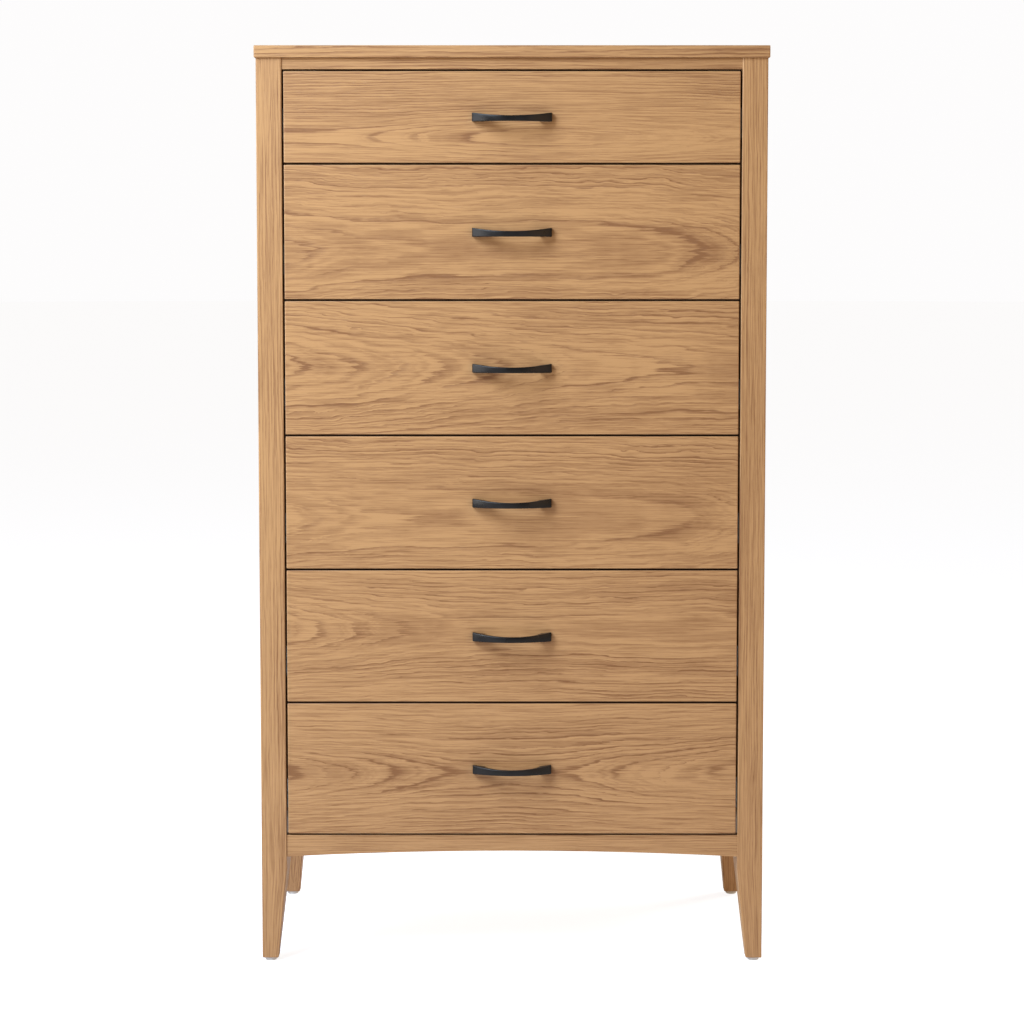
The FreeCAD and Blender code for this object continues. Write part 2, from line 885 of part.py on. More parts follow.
def save_case():
    save("top_panel", top_panel())
    front = front_post()
    save("post_front_left", mirrored(front))
    save("post_front_right", front)
    rear = rear_post()
    save("post_rear_left", mirrored(rear))
    save("post_rear_right", rear)
    side = side_panel()
    save("side_panel_left", mirrored(side))
    save("side_panel_right", side)
    save("back_panel", back_panel())
    save("top_rail", top_rail())
    save("bottom_rail", bottom_rail())
    save("rear_rails", *rear_rails())
    save("drawer_dividers", *dividers())
    save("slide_battens", *battens())
    outers = [outer_member(z) for z in slide_heights()]
    save("slide_outer_members", *[mirrored(m) for m in outers], *outers)
    glides = [foot_glide(True), foot_glide(False)]
    save("foot_glides", *[mirrored(g) for g in glides], *glides)
    save("back_panel_screws", *back_screws())
    save("corner_blocks", *corner_blocks())
    save("top_panel_screws", *top_screws())


os.makedirs("parts", exist_ok=True)
save_case()
for index, (front_bottom, front_height) in enumerate(zip(front_bottoms(), front_heights)):
    save_drawer(index + 1, front_bottom, front_height)
print("height", case_top + top_thickness, "slide length", slide_length, "box", 2 * box_half, box_back - box_front)
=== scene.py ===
"""Looks of the tall chest of drawers: lacquered oak, black bow handles, zinc-plated slides and a stage."""
import math
from collections import namedtuple

import bmesh
import bpy
import numpy as np
from bpy.props import FloatProperty, FloatVectorProperty, PointerProperty
from mathutils import Matrix, Vector


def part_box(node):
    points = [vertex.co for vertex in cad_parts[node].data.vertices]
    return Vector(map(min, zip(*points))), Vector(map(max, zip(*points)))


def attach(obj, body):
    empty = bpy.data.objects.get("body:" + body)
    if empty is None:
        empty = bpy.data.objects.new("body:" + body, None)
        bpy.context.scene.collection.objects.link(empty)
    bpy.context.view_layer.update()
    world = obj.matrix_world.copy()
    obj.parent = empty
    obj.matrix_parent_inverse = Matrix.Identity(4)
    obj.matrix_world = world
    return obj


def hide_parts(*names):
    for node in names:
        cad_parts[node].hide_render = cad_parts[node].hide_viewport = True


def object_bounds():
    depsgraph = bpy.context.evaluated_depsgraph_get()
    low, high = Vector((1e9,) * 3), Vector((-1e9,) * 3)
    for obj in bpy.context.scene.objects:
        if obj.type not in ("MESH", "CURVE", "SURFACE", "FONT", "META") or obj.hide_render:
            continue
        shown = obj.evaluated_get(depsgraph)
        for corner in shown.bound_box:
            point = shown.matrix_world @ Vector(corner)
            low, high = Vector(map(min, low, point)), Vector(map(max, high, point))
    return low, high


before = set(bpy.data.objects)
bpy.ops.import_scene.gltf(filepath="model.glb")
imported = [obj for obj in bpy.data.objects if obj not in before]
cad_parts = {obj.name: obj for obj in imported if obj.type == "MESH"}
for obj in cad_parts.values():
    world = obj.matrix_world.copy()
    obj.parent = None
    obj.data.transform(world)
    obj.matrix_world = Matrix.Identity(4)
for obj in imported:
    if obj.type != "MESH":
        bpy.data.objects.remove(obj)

bl_info = {
    "name": "Tall chest of drawers",
    "version": (1, 0, 0),
    "blender": (4, 5, 0),
    "location": "View3D > Sidebar > Chest",
    "description": "Finishes and fittings of a tall oak chest of drawers, built around its packed frame",
    "category": "Object",
}

MM = 0.001
CAD_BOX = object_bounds()
DRAWERS = sum(node.startswith("drawer_") and node.endswith("_front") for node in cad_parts)
BOX_BOARD = 12 * MM  # thickness of the boards of a drawer box
GAP_SHADE_RAMP = 0.7 * MM  # depth over which the painted gap shade sets in
UNSHADED_BACK = (0.6 * MM, 0.3 * MM)  # the painted gap shade fades out between these distances from a board's back
AXES = {"x": Vector((1, 0, 0)), "y": Vector((0, 1, 0)), "z": Vector((0, 0, 1))}


def drawer(number, piece):
    """Name of a node of one drawer."""
    return f"drawer_{number}_{piece}"


# --- settings a user would change ------------------------------------------------------------


def colour_setting(name, description, default):
    return FloatVectorProperty(
        name=name, description=description, default=default, subtype="COLOR", min=0, max=1
    )


def length_setting(name, description, default):
    return FloatProperty(name=name, description=description, default=default, unit="LENGTH")


def power_setting(name, description, default):
    return FloatProperty(name=name, description=description, default=default, min=0, unit="POWER")


def amount_setting(name, description, default, most=1):
    return FloatProperty(name=name, description=description, default=default, min=0, max=most)


class ChestOak(bpy.types.PropertyGroup):
    """Finish of the oak."""

    pale: colour_setting("Late wood", "Colour of the wood between the ring lines", (0.442, 0.230, 0.086))
    dark: colour_setting("Early wood", "Colour of the ring lines and pores", (0.206, 0.080, 0.0190))
    # Painted shade: this dark colour goes on the fronts' edges and on the dividers, so that the gaps between
    # the drawers read as shade
    edge: colour_setting("Edges", "Colour of the stained edges of the drawer fronts", (0.125, 0.058, 0.024))
    ring_contrast: amount_setting("Ring contrast", "Strength of the ring lines", 0.95, most=2)
    lacquer: amount_setting("Lacquer roughness", "Roughness of the satin lacquer", 0.46)
    taper_top: length_setting("Taper top", "Height where the legs begin to taper", 142 * MM)
    foot: length_setting("Foot", "Width of a leg at its foot", 24.5 * MM)
    relief: length_setting("Grain relief", "Depth of the open grain", 0.12 * MM)


class ChestHandles(bpy.types.PropertyGroup):
    """Shape and finish of the bow handles."""

    colour: colour_setting("Paint", "Colour of the satin black paint", (0.006, 0.0056, 0.0056))
    roughness: amount_setting("Roughness", "Roughness of the paint", 0.31)
    bar_thickness: length_setting("Bar", "Thickness of the bow in plan", 6.5 * MM)
    foot_length: length_setting("Foot", "Length of each foot on the front", 18 * MM)
    end_projection: length_setting("Ends", "How far the ends stand out", 7 * MM)
    top_dip: length_setting("Top dip", "Hollow of the upper edge", 4.8 * MM)
    bottom_rise: length_setting("Bottom rise", "Hollow of the lower edge", 0.4 * MM)
    edge_radius: length_setting("Edges", "Radius of the long edges", 1.4 * MM)


class ChestInside(bpy.types.PropertyGroup):
    """Finish of the drawer boxes and the fittings."""

    box_pale: colour_setting("Box late wood", "Colour of the pale wood between its rings", (0.74, 0.58, 0.39))
    box_dark: colour_setting("Box early wood", "Colour of the pale wood's ring lines", (0.52, 0.35, 0.19))
    box_contrast: amount_setting("Box ring contrast", "Strength of the pale wood's ring lines", 0.35)
    slide: colour_setting("Slides", "Colour of the zinc-plated slides", (0.62, 0.64, 0.66))
    screw: colour_setting("Screws", "Colour of the zinc-plated screws", (0.6, 0.6, 0.6))
    nylon: colour_setting("Glides", "Colour of the nylon glides", (0.6, 0.58, 0.55))
    nylon_mottle: colour_setting("Glide mottle", "Lighter colour of the nylon's mottle", (0.7, 0.69, 0.66))


class ChestStage(bpy.types.PropertyGroup):
    """Floor, lights and camera."""

    lens: FloatProperty(name="Lens", description="Focal length in millimetres", default=99.2, min=20)
    distance: length_setting("Distance", "Camera to the drawer fronts", 4.2)
    height: length_setting("Height", "Camera above the floor", 1.105)
    tilt: FloatProperty(
        name="Tilt", description="Camera's look down", default=math.radians(4.99), unit="ROTATION"
    )
    shift: FloatProperty(name="Shift", description="Lens shift, in frame heights", default=-0.035)
    floor_radius: length_setting("Floor", "Radius of the floor", 40.0)
    floor_glow: amount_setting("Floor glow", "Brightness the floor shows, which hides its far edge", 0.84)
    floor_bounce: amount_setting("Floor bounce", "Light that the floor gives to the chest", 0.38)
    key_power: power_setting("Key light", "Power of the large light at the upper left", 154.0)
    side_power: power_setting("Side light", "Power of the light low at the left", 16.5)
    fill_power: power_setting("Fill light", "Power of the light at the right", 13.0)
    back_power: power_setting("Back light", "Power of the light behind, at the right", 70.0)
    sky: amount_setting("Sky", "Strength of the even light from all round", 0.29)


# --- node trees ------------------------------------------------------------------------------


class Graph:
    """Shorthand for a node tree: each method adds a node and gives back its output."""

    def __init__(self, tree):
        self.tree = tree

    def node(self, kind, **settings):
        made = self.tree.nodes.new(kind)
        for key, value in settings.items():
            setattr(made, key, value)
        return made

    def put(self, socket, value):
        """Links an output to a socket, or sets the socket's own value."""
        if isinstance(value, bpy.types.NodeSocket):
            self.tree.links.new(value, socket)
        else:
            socket.default_value = value

    def math(self, operation, a, b=0.0, c=0.0, clamp=False):
        made = self.node("ShaderNodeMath", operation=operation, use_clamp=clamp)
        for socket, value in zip(made.inputs, (a, b, c)):
            self.put(socket, value)
        return made.outputs[0]

    def vector(self, operation, a, b):
        made = self.node("ShaderNodeVectorMath", operation=operation)
        self.put(made.inputs[0], a)
        self.put(made.inputs[1], b)
        return made.outputs[0]

    def separate(self, vector):
        made = self.node("ShaderNodeSeparateXYZ")
        self.put(made.inputs[0], vector)
        return made.outputs

    def combine(self, x, y, z):
        made = self.node("ShaderNodeCombineXYZ")
        for socket, value in zip(made.inputs, (x, y, z)):
            self.put(socket, value)
        return made.outputs[0]

    def noise(self, vector, stretch, detail=2.0, roughness=0.5):
        """Noise between 0 and 1, about 0.5, on a vector stretched by three factors."""
        made = self.node("ShaderNodeTexNoise", noise_dimensions="3D")
        self.put(made.inputs["Vector"], self.vector("MULTIPLY", vector, stretch))
        made.inputs["Scale"].default_value = 1.0
        made.inputs["Detail"].default_value = detail
        made.inputs["Roughness"].default_value = roughness
        return made.outputs["Fac"]

    def swing(self, noise, reach):
        """Noise turned into a value between -reach and +reach."""
        return self.math("MULTIPLY", self.math("SUBTRACT", noise, 0.5), self.math("MULTIPLY", reach, 2.0))

    def ramp(self, value, low, high, out_low=0.0, out_high=1.0, smooth=True):
        made = self.node("ShaderNodeMapRange", interpolation_type="SMOOTHSTEP" if smooth else "LINEAR")
        for socket, number in zip(made.inputs, (value, low, high, out_low, out_high)):
            self.put(socket, number)
        return made.outputs[0]

    def choose(self, factor, a, b):
        """Vector a where factor is 0 and b where it is 1."""
        made = self.node("ShaderNodeMix", data_type="VECTOR")
        self.put(made.inputs["Factor"], factor)
        self.put(made.inputs["A"], a)
        self.put(made.inputs["B"], b)
        return made.outputs["Result"]

    def mix(self, factor, a, b):
        """Colour a where factor is 0 and b where it is 1."""
        made = self.node("ShaderNodeMix", data_type="RGBA", blend_type="MIX")
        self.put(made.inputs["Factor"], factor)
        self.put(made.inputs["A"], a)
        self.put(made.inputs["B"], b)
        return made.outputs["Result"]


def new_group(name, inputs, outputs):
    """Empty shader group with named sockets. Gives its tree, a graph, its inputs and its output node."""
    tree = bpy.data.node_groups.new(name, "ShaderNodeTree")
    for socket, kind, default in inputs:
        made = tree.interface.new_socket(socket, in_out="INPUT", socket_type=f"NodeSocket{kind}")
        if default is not None:
            made.default_value = default
    for socket, kind in outputs:
        tree.interface.new_socket(socket, in_out="OUTPUT", socket_type=f"NodeSocket{kind}")
    graph = Graph(tree)
    return tree, graph, graph.node("NodeGroupInput").outputs, graph.node("NodeGroupOutput").inputs


def rgba(colour):
    return (*tuple(colour)[:3], 1.0)


# How closely the features of a board follow one another along it, into it and across it, per metre.
SLOW_WAVE = (1.3, 5.0, 5.0)
RIPPLE = (9.0, 22.0, 22.0)
DRIFT = (3.2, 1.0, 1.0)
STREAK = (3.4, 150.0, 150.0)
FIBRE = (10.0, 460.0, 460.0)
BAND = (1.2, 16.0, 16.0)
PATCH = (3.0, 22.0, 22.0)
DASH = (60.0, 1500.0, 1500.0)
FLOW = (7.0, 2.3, 1.0)  # along the board in metres, then in rings


def ring_distance(g, given, place, seed):
    """Distance from the pith, with the waver of the grain and the swell of the trunk in it."""
    x, y, z = g.separate(given["Board"])
    slow = g.swing(g.noise(place, SLOW_WAVE, detail=1.0), given["Waver"])
    ripple = g.noise(place, RIPPLE, detail=3.0, roughness=0.6)
    ripple = g.swing(ripple, g.math("MULTIPLY", given["Waver"], 0.8))
    across = g.math("ADD", g.math("ADD", z, slow), ripple)
    along = g.vector("ADD", g.combine(x, 0.0, 0.0), seed)
    drift = g.swing(g.noise(along, DRIFT, detail=2.0), 4 * MM)
    turn = g.math("DIVIDE", g.math("SUBTRACT", x, given["Swell Place"]), given["Swell Length"])
    swell = g.math("MULTIPLY", g.math("COSINE", g.math("MULTIPLY", turn, math.tau)), given["Swell"])
    depth = g.math("ADD", given["Pith Depth"], g.math("MULTIPLY", x, given["Slope"]))
    depth = g.math("ADD", g.math("SUBTRACT", depth, swell), g.math("ADD", drift, y))
    side = g.math("SUBTRACT", across, given["Pith Height"])
    return g.math("SQRT", g.math("ADD", g.math("MULTIPLY", side, side), g.math("MULTIPLY", depth, depth)))


def early_wood(g, given, place, count, band):
    """How much dark early wood there is: a line that starts each ring, its fade, and a thread halfway."""
    phase = g.math("FRACT", count)
    own = g.node("ShaderNodeTexWhiteNoise", noise_dimensions="2D")
    g.put(own.inputs["Vector"], g.combine(g.math("FLOOR", count), given["Seed"], 0.0))
    strength = g.ramp(own.outputs["Value"], 0.0, 1.0, 0.3, 1.0, smooth=False)
    patch = g.ramp(g.noise(place, PATCH, detail=2.0), 0.38, 0.6, 0.35, 1.0)
    line = g.ramp(phase, 0.05, 0.3, 1.0, 0.0)
    fade = g.ramp(phase, 0.1, 0.9, 0.4, 0.0)
    onset = g.ramp(phase, 0.93, 1.0, 0.0, 1.0)
    early = g.math("MAXIMUM", g.math("MAXIMUM", line, fade), onset)
    thread = g.math("FRACT", g.math("MULTIPLY", count, 2.0))
    thread = g.math("MULTIPLY", g.ramp(thread, 0.0, 0.45, 1.0, 0.0), g.ramp(band, 0.4, 0.6, 0.2, 0.5))
    early = g.math("MAXIMUM", early, thread)
    return g.math("MULTIPLY", g.math("MULTIPLY", early, strength), patch)


def wood_group():
    """Growth rings, fibres and pores of a board, shared by every wood.

    The board vector has X along the grain, Y into the board and Z across it, in metres. The distance from
    the pith is sqrt((Z - height)^2 + (Y + depth)^2), where the depth changes along X by a slope, a cosine
    swell and slow noise, and Z wavers a little. The distance over the ring width counts the rings, whose
    widths vary and whose lines are frayed by streaks and fibres. Each ring starts with dark early wood and
    fades into pale late wood, each as strongly as its own number says, with a fine thread halfway.
    Fainter flow lines follow the rings, since their noise is read at the ring count. Fibres, broad bands
    and short open pores run straight along the board.
    """
    tree, g, given, result = new_group(
        "wood figure",
        [
            ("Board", "Vector", None),
            ("Pith Height", "Float", 0.0),
            ("Pith Depth", "Float", 0.06),
            ("Slope", "Float", 0.0),
            ("Swell", "Float", 0.0),
            ("Swell Length", "Float", 0.6),
            ("Swell Place", "Float", 0.0),
            ("Ring Width", "Float", 0.003),
            ("Waver", "Float", 0.006),
            ("Seed", "Float", 0.0),
            ("Pale", "Color", (0.6, 0.4, 0.2, 1)),
            ("Dark", "Color", (0.3, 0.15, 0.07, 1)),
            ("Contrast", "Float", 0.6),
            ("Lacquer", "Float", 0.45),
        ],
        [("Color", "Color"), ("Roughness", "Float"), ("Height", "Float")],
    )
    number = given["Seed"]
    seed = g.combine(g.math("MULTIPLY", number, 7.31), number, g.math("MULTIPLY", number, 3.17))
    place = g.vector("ADD", given["Board"], seed)
    streak = g.noise(place, STREAK, detail=4.0, roughness=0.65)
    fibre = g.noise(place, FIBRE, detail=3.0, roughness=0.65)
    band = g.noise(place, BAND, detail=3.0, roughness=0.6)

    count = g.math("DIVIDE", ring_distance(g, given, place, seed), given["Ring Width"])
    width_noise = g.noise(g.combine(g.math("MULTIPLY", count, 0.21), number, 0.0), (1, 1, 1), detail=1.0)
    count = g.math("ADD", count, g.swing(width_noise, 1.3))
    count = g.math("ADD", count, g.math("ADD", g.swing(streak, 0.5), g.swing(fibre, 0.12)))
    along = g.separate(given["Board"])[0]
    flow = g.noise(g.combine(along, count, number), FLOW, detail=3.0, roughness=0.65)
    early = early_wood(g, given, place, count, band)
    dash = g.noise(place, DASH, detail=1.0)
    pore = g.math("MULTIPLY", g.ramp(dash, 0.54, 0.66), g.ramp(early, 0.05, 0.5, 0.35, 1.0))

    tone = g.math("MULTIPLY", early, given["Contrast"])
    tone = g.math("ADD", tone, g.ramp(flow, 0.4, 0.62, -0.14, 0.22))
    tone = g.math("ADD", tone, g.ramp(fibre, 0.42, 0.64, -0.12, 0.3))
    tone = g.math("ADD", tone, g.swing(band, 0.4))
    tone = g.math("ADD", tone, g.math("MULTIPLY", pore, 0.3))
    tone = g.math("ADD", tone, 0.14, clamp=True)
    g.put(result["Color"], g.mix(tone, given["Pale"], given["Dark"]))
    duller = g.math("MULTIPLY", g.math("SUBTRACT", tone, 0.3), 0.18)
    g.put(result["Roughness"], g.math("ADD", given["Lacquer"], duller))
    relief = g.math("ADD", g.math("MULTIPLY", early, 0.35), g.math("MULTIPLY", pore, 0.65))
    g.put(result["Height"], g.math("SUBTRACT", 1.0, relief))
    return tree


def leg_group():
    """Coordinates that follow a tapered leg, so that its grain runs down to the foot on every face.

    From the top of the taper down to the foot, distances from the leg's outer corner are stretched by the
    full width over the width at that height.
    """
    tree, g, given, result = new_group(
        "leg grain",
        [
            ("Vector", "Vector", None),
            ("Corner", "Vector", (0, 0, 0)),
            ("Size", "Vector", (0.04, 0.08, 1)),
            ("Foot", "Float", 0.025),
            ("Taper Top", "Float", 0.14),
        ],
        [("Vector", "Vector")],
    )
    place = g.separate(given["Vector"])
    corner = g.separate(given["Corner"])
    size = g.separate(given["Size"])
    down = g.ramp(place[2], given["Taper Top"], 0.0, smooth=False)
    stretched = []
    for i in (0, 1):
        lost = g.math("MULTIPLY", g.math("SUBTRACT", size[i], given["Foot"]), down)
        factor = g.math("DIVIDE", size[i], g.math("SUBTRACT", size[i], lost))
        stretched.append(g.math("MULTIPLY_ADD", g.math("SUBTRACT", place[i], corner[i]), factor, corner[i]))
    g.put(result["Vector"], g.combine(*stretched, place[2]))
    return tree


def wear_group():
    """Slow unevenness of a painted or plated surface: fine orange peel and broad smudges."""
    tree, g, given, result = new_group(
        "surface unevenness",
        [
            ("Vector", "Vector", None),
            ("Grain", "Float", 900.0),
            ("Smudge", "Float", 18.0),
            ("Roughness", "Float", 0.4),
            ("Spread", "Float", 0.1),
        ],
        [("Roughness", "Float"), ("Height", "Float"), ("Smudge", "Float")],
    )
    fine = g.node("ShaderNodeTexNoise", noise_dimensions="3D")
    broad = g.node("ShaderNodeTexNoise", noise_dimensions="3D")
    for made, scale in ((fine, "Grain"), (broad, "Smudge")):
        g.put(made.inputs["Vector"], given["Vector"])
        g.put(made.inputs["Scale"], given[scale])
        made.inputs["Detail"].default_value = 3.0
    smudge = g.ramp(broad.outputs["Fac"], 0.35, 0.7)
    duller = g.math("MULTIPLY", g.math("SUBTRACT", smudge, 0.5), given["Spread"])
    g.put(result["Roughness"], g.math("ADD", given["Roughness"], duller))
    g.put(result["Height"], fine.outputs["Fac"])
    g.put(result["Smudge"], smudge)
    return tree


GROUPS = {}


def group(name, builder):
    """The shared node group of that name, built the first time it is asked for."""
    if name not in GROUPS:
        GROUPS[name] = builder()
    return GROUPS[name]


def new_material(name):
    """Material with a Principled shader alone.

    Gives the material, its graph, the shader and its object coordinates.
    """
    material = bpy.data.materials.new(name)
    material.use_nodes = True
    material.node_tree.nodes.clear()
    g = Graph(material.node_tree)
    shader = g.node("ShaderNodeBsdfPrincipled")
    out = g.node("ShaderNodeOutputMaterial")
    g.put(out.inputs["Surface"], shader.outputs[0])
    return material, g, shader, g.node("ShaderNodeTexCoord").outputs["Object"]


def bump(g, height, distance):
    """Normal that follows a height between 0 and 1, whose full depth is the distance."""
    made = g.node("ShaderNodeBump")
    made.inputs["Strength"].default_value = 1.0
    made.inputs["Distance"].default_value = distance
    g.put(made.inputs["Height"], height)
    return made.outputs[0]


# --- boards ----------------------------------------------------------------------------------

# How a board was sawn. Sizes are in millimetres. height is the pith's place across the board from its
# middle, depth how far behind the show face it lies, slope and swell how that depth changes along it,
# length and place the swell's wave, ring the ring width, and waver how far the grain strays.
Cut = namedtuple("Cut", "height depth slope swell length place ring waver")
PLAIN = Cut(height=0, depth=70, slope=0.01, swell=4, length=500, place=0, ring=3.0, waver=7)
RIFT = Cut(height=150, depth=110, slope=0.004, swell=0, length=900, place=0, ring=3.4, waver=4)

FRONT_CUTS = [
    Cut(height=-30, depth=23, slope=0.0, swell=8, length=800, place=55, ring=4.0, waver=5),
    Cut(height=-30, depth=100, slope=0.055, swell=9, length=1000, place=215, ring=5.4, waver=15),
    Cut(height=2, depth=85, slope=0.034, swell=8, length=1300, place=-525, ring=5.0, waver=13),
    Cut(height=-24, depth=90, slope=0.052, swell=9, length=1000, place=225, ring=5.0, waver=13),
    Cut(height=12, depth=70, slope=0.030, swell=6, length=900, place=-525, ring=4.4, waver=10),
    Cut(height=-6, depth=60, slope=0.0, swell=8, length=760, place=380, ring=4.4, waver=9),
]


def put_cut(figure, cut, seed):
    """Sets a wood group's values from a cut."""
    values = {
        "Pith Height": cut.height * MM,
        "Pith Depth": cut.depth * MM,
        "Slope": cut.slope,
        "Swell": cut.swell * MM,
        "Swell Length": cut.length * MM,
        "Swell Place": cut.place * MM,
        "Ring Width": cut.ring * MM,
        "Waver": cut.waver * MM,
        "Seed": seed,
    }
    for socket, value in values.items():
        figure.inputs[socket].default_value = value


def board_mapping(g, coords, node, grain, outward):
    """Mapping node that turns object coordinates into a board's own: along, into and across it."""
    low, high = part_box(node)
    along = AXES[grain]
    into = -Vector(outward)
    across = along.cross(into)
    turn = Matrix((along, into, across))
    face = (low + high) / 2
    for i in range(3):
        if outward[i]:
            face[i] = high[i] if outward[i] > 0 else low[i]
    made = g.node("ShaderNodeMapping")
    made.inputs["Location"].default_value = -(turn @ face)
    made.inputs["Rotation"].default_value = turn.to_euler()
    g.put(made.inputs["Vector"], coords)
    return made.outputs[0]


def wood_figure(g, vector, cut, seed, colours, contrast, lacquer):
    """A placed wood group. colours are the late wood's and the early wood's."""
    figure = g.node("ShaderNodeGroup", node_tree=group("wood", wood_group))
    g.put(figure.inputs["Board"], vector)
    put_cut(figure, cut, seed)
    figure.inputs["Pale"].default_value = rgba(colours[0])
    figure.inputs["Dark"].default_value = rgba(colours[1])
    figure.inputs["Contrast"].default_value = contrast
    figure.inputs["Lacquer"].default_value = lacquer
    return figure.outputs


def along_leg(g, coords, node):
    """Object coordinates that follow the taper of a post."""
    settings = bpy.context.scene.chest_oak
    low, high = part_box(node)
    leg = g.node("ShaderNodeGroup", node_tree=group("leg", leg_group))
    g.put(leg.inputs["Vector"], coords)
    leg.inputs["Corner"].default_value = [high[i] if abs(high[i]) > abs(low[i]) else low[i] for i in range(3)]
    leg.inputs["Size"].default_value = high - low
    leg.inputs["Foot"].default_value = settings.foot
    leg.inputs["Taper Top"].default_value = settings.taper_top
    return leg.outputs["Vector"]


# Painted shade: the dark edge colour stands in for the shade inside the gaps between the drawers, not for a
# stain on the wood
def paint_gap_shade(g, vector, node, outward, start, colour):
    """Painted shade: darkens a board's edges from a depth behind its show face on, standing in for the shade
    inside the gaps, and leaves its back unshaded.
    """
    low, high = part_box(node)
    thickness = abs((high - low).dot(Vector(outward)))
    into = g.separate(vector)[1]
    behind = g.ramp(into, start, start + GAP_SHADE_RAMP)
    back_unshaded = g.ramp(into, thickness - UNSHADED_BACK[0], thickness - UNSHADED_BACK[1], 1.0, 0.0)
    gap_shade_colour = rgba(bpy.context.scene.chest_oak.edge)
    return g.mix(g.math("MULTIPLY", behind, back_unshaded), colour, gap_shade_colour)


def oak_board(node, grain, outward, cut, seed, gap_shade_start=None):
    """Gives an oak node its own material, cut from its own place in the log.

    The last argument is the depth behind the show face where painted shade darkens the edges, standing in for
    the shade in the gaps, if they have any.
    """
    settings = bpy.context.scene.chest_oak
    material, g, shader, coords = new_material("oak_" + node)
    if node.startswith("post"):
        coords = along_leg(g, coords, node)
    vector = board_mapping(g, coords, node, grain, outward)
    colours = (settings.pale, settings.dark)
    figure = wood_figure(g, vector, cut, seed, colours, settings.ring_contrast, settings.lacquer)
    colour = figure["Color"]
    # painted shade on the edges, where a depth for it is given
    if gap_shade_start is not None:
        colour = paint_gap_shade(g, vector, node, outward, gap_shade_start, colour)
    g.put(shader.inputs["Base Color"], colour)
    g.put(shader.inputs["Roughness"], figure["Roughness"])
    g.put(shader.inputs["Normal"], bump(g, figure["Height"], settings.relief))
    cover(node, material)


def pale_board(node, grain, outward, cut, seed, lacquer, relief=0.0, sides=False):
    """Gives a node of pale wood its own material. sides turns the grain of a box's two side boards."""
    settings = bpy.context.scene.chest_inside
    material, g, shader, coords = new_material("pale_wood_" + node)
    vector = board_mapping(g, coords, node, grain, outward)
    if sides:
        half_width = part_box(node)[1].x
        side = g.math("ABSOLUTE", g.separate(coords)[0])
        side = g.math("GREATER_THAN", side, half_width - BOX_BOARD)
        vector = g.choose(side, vector, board_mapping(g, coords, node, "y", (-1, 0, 0)))
    colours = (settings.box_pale, settings.box_dark)
    figure = wood_figure(g, vector, cut, seed, colours, settings.box_contrast, lacquer)
    g.put(shader.inputs["Base Color"], figure["Color"])
    g.put(shader.inputs["Roughness"], figure["Roughness"])
    if relief:
        g.put(shader.inputs["Normal"], bump(g, figure["Height"], relief))
    cover(node, material)


def cover(node, material):
    """Puts one material on a carried-over node."""
    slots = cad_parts[node].data.materials
    slots.clear()
    slots.append(material)


# --- pieces ----------------------------------------------------------------------------------


def new_piece(name, points, faces, body, node, material):
    """Mesh object from arrays of points and faces, which rides on a body and replaces a node."""
    mesh = bpy.data.meshes.new(name)
    mesh.from_pydata(points.tolist(), [], faces)
    mesh.validate()
    mesh.shade_smooth()
    piece = bpy.data.objects.new(name, mesh)
    bpy.context.scene.collection.objects.link(piece)
    mesh.materials.append(material)
    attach(piece, body)
    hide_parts(node)
    return piece


def tube_faces(rings, around):
    """Quads between closed rings of points laid end to end, and a flat cap at each end."""
    ring = np.arange(rings - 1)[:, None] * around
    step = np.arange(around)[None, :]
    after = (step + 1) % around
    quads = np.stack([ring + step, ring + after, ring + around + after, ring + around + step], axis=-1)
    first = list(range(around))[::-1]
    last = list(range((rings - 1) * around, rings * around))
    return quads.reshape(-1, 4).tolist() + [first, last]


def handle_surface(low, high, settings):
    """Bow handle between two corners.

    Its front is an arc in plan, out(x) = end + (crown - end)(1 - (x / half)^2). Its back lies on the
    drawer front at the feet, and between them is (crown - bar)(1 - (x / inner)^2)^0.48 in front of it.
    The upper edge dips by top_dip (1 - (x / half)^2), and the lower edge rises likewise. Each section
    across is a rectangle with round corners, and the last few sections draw in by a quarter circle.
    """
    half = (high.x - low.x) / 2
    crown = high.y - low.y
    radius = settings.edge_radius
    inner = half - settings.foot_length
    swing = np.linspace(-np.pi / 2, np.pi / 2, 61)
    middle = inner * np.sin(swing)
    foot = np.linspace(inner, half - radius, 9)[1:]
    quarter = np.linspace(0, np.pi / 2, 6)[1:]
    end = half - radius + radius * np.sin(quarter)
    x = np.concatenate([-end[::-1], -foot[::-1], middle, foot, end])
    draw_in = radius * (1 - np.cos(quarter))
    inset = np.concatenate([draw_in[::-1], np.zeros(len(foot) * 2 + len(middle)), draw_in])

    bow = 1 - (x / half) ** 2
    front = settings.end_projection + (crown - settings.end_projection) * bow
    t = np.clip(np.abs(x) / inner, 0, 1)
    back = (crown - settings.bar_thickness) * (1 - t**2) ** 0.48
    top = high.z - settings.top_dip * bow - inset
    bottom = low.z + settings.bottom_rise * bow + inset
    front = front - inset
    back = back + inset * 0.5

    corner = np.linspace(0, np.pi / 2, 5)
    angle = np.concatenate([corner + k * np.pi / 2 for k in range(4)])
    quadrant = np.repeat(np.arange(4), len(corner))
    sign_out = np.array([1, -1, -1, 1])[quadrant]
    sign_up = np.array([1, 1, -1, -1])[quadrant]
    half_out = ((front - back) / 2)[:, None]
    half_up = ((top - bottom) / 2)[:, None]
    round_off = np.minimum(radius, 0.45 * np.minimum(half_out, half_up))
    out = ((front + back) / 2)[:, None] + sign_out * (half_out - round_off) + round_off * np.cos(angle)
    up = ((top + bottom) / 2)[:, None] + sign_up * (half_up - round_off) + round_off * np.sin(angle)
    mid_x = (low.x + high.x) / 2
    points = np.stack([np.broadcast_to(mid_x + x[:, None], out.shape), high.y - out, up], axis=-1)
    return points.reshape(-1, 3), len(x), len(angle)


def outward_faces(piece):
    """Turns the faces of a closed piece outwards."""
    work = bmesh.new()
    work.from_mesh(piece.data)
    bmesh.ops.recalc_face_normals(work, faces=work.faces)
    work.to_mesh(piece.data)
    work.free()


